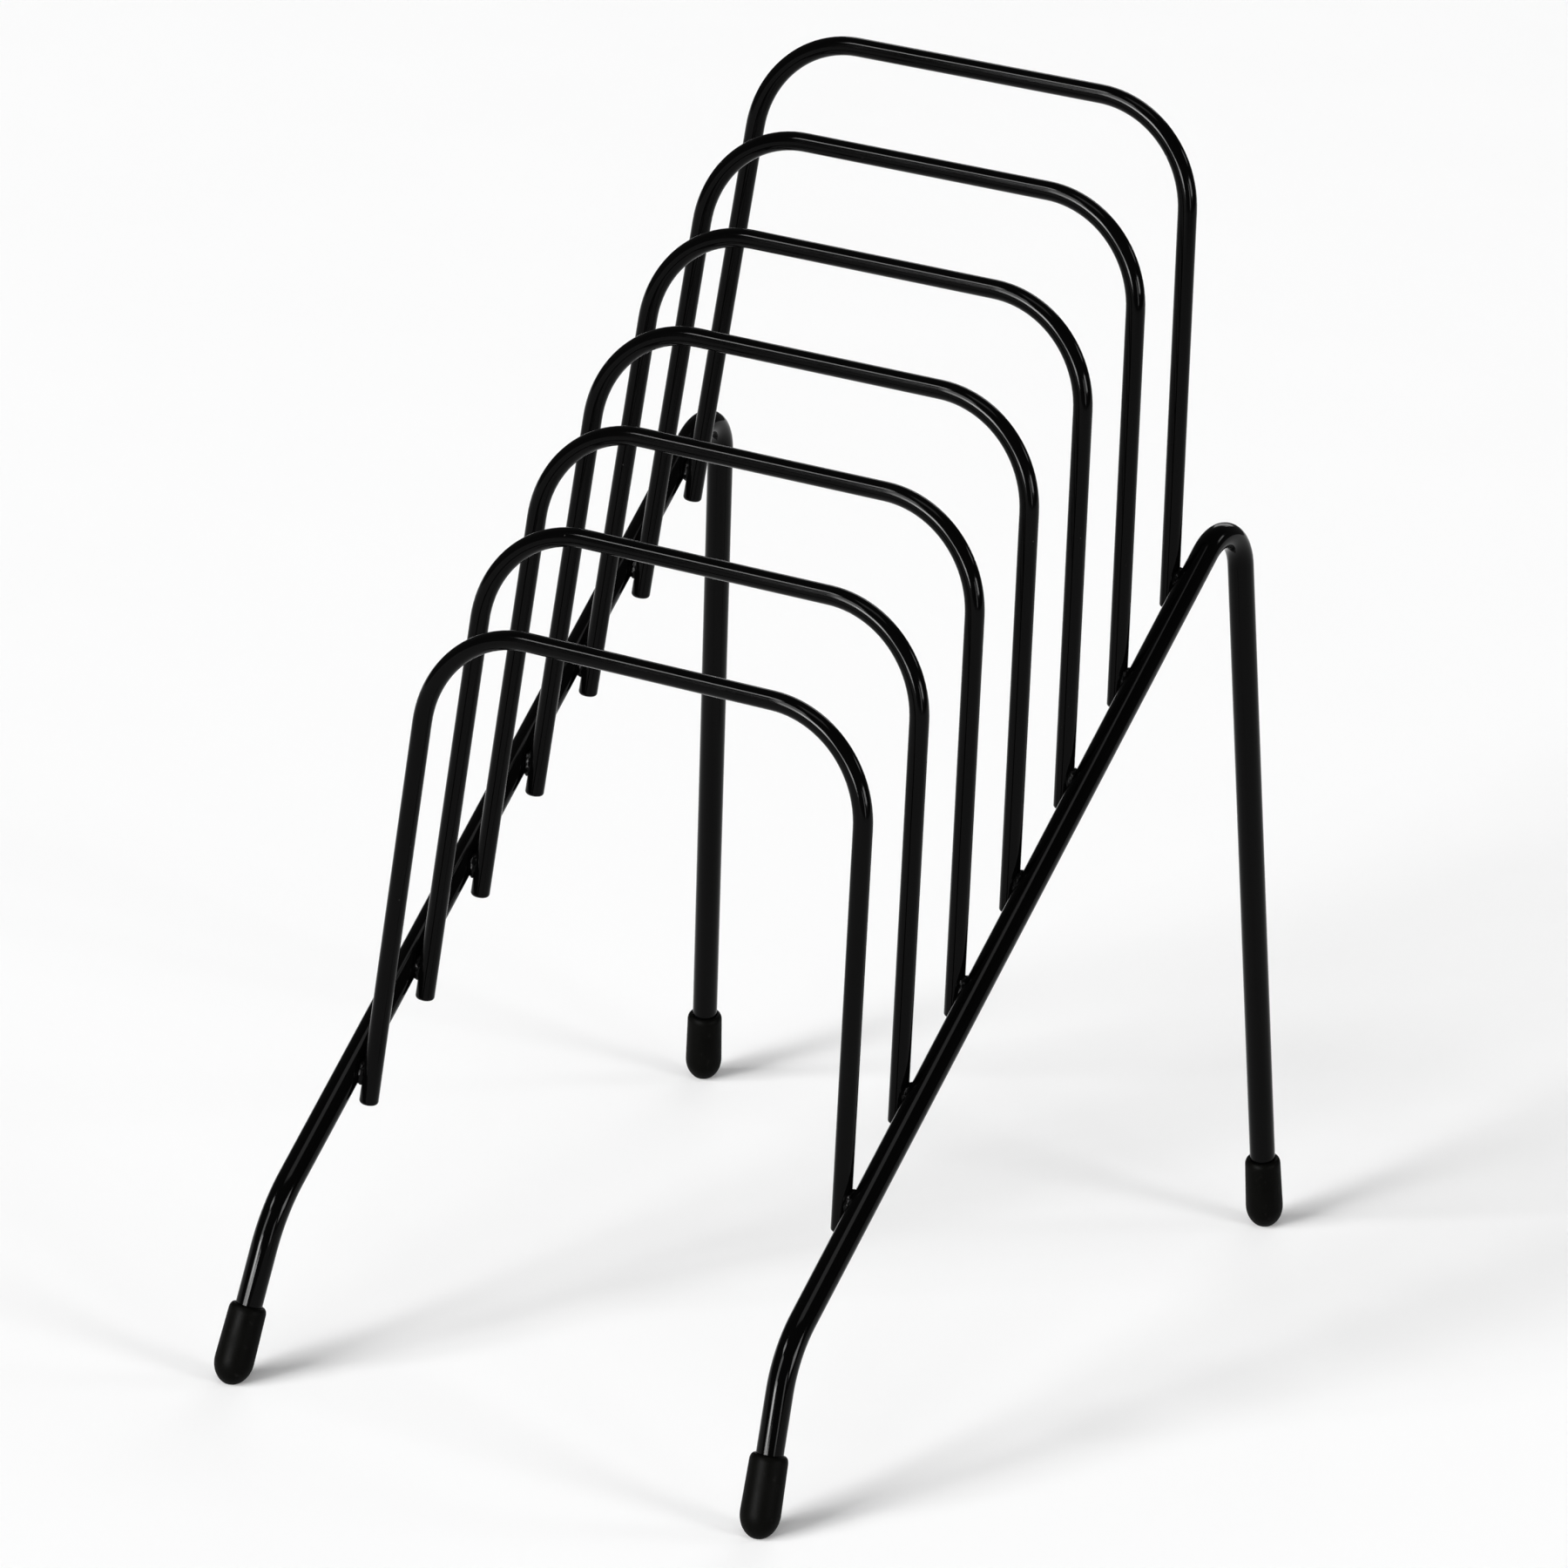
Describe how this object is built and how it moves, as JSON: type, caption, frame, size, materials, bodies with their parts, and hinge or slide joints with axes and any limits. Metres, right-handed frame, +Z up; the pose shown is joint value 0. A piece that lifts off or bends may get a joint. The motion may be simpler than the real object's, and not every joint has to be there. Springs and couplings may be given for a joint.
{
  "type": "stepped wire file rack",
  "caption": "Stepped wire file rack: two bent side rails climb to the rear and carry upright wire loops as dividers, with a soft cap on each foot.",
  "frame": {"origin": "on the surface the rack stands on, under the middle of its bounding box", "axes": "+Z up; +Y from the low front to the high rear; +X to the right as seen from the front"},
  "size_m": [0.1752, 0.2592, 0.3008],
  "materials": {
    "coated_wire": "smooth glossy black coating with narrow bright reflections",
    "foot_cap": "matt black soft plastic with a faint broad sheen"
  },
  "bodies": {
    "root": {"left_side_rail": "coated_wire", "right_side_rail": "coated_wire", "divider_1": "coated_wire", "divider_2": "coated_wire", "divider_3": "coated_wire", "divider_4": "coated_wire", "divider_5": "coated_wire", "divider_6": "coated_wire", "divider_7": "coated_wire", "weld_left_1": "coated_wire", "weld_left_2": "coated_wire", "weld_left_3": "coated_wire", "weld_left_4": "coated_wire", "weld_left_5": "coated_wire", "weld_left_6": "coated_wire", "weld_left_7": "coated_wire", "weld_right_1": "coated_wire", "weld_right_2": "coated_wire", "weld_right_3": "coated_wire", "weld_right_4": "coated_wire", "weld_right_5": "coated_wire", "weld_right_6": "coated_wire", "weld_right_7": "coated_wire", "front_left_foot_cap": "foot_cap", "front_right_foot_cap": "foot_cap", "rear_left_foot_cap": "foot_cap", "rear_right_foot_cap": "foot_cap"}
  },
  "joints": []
}
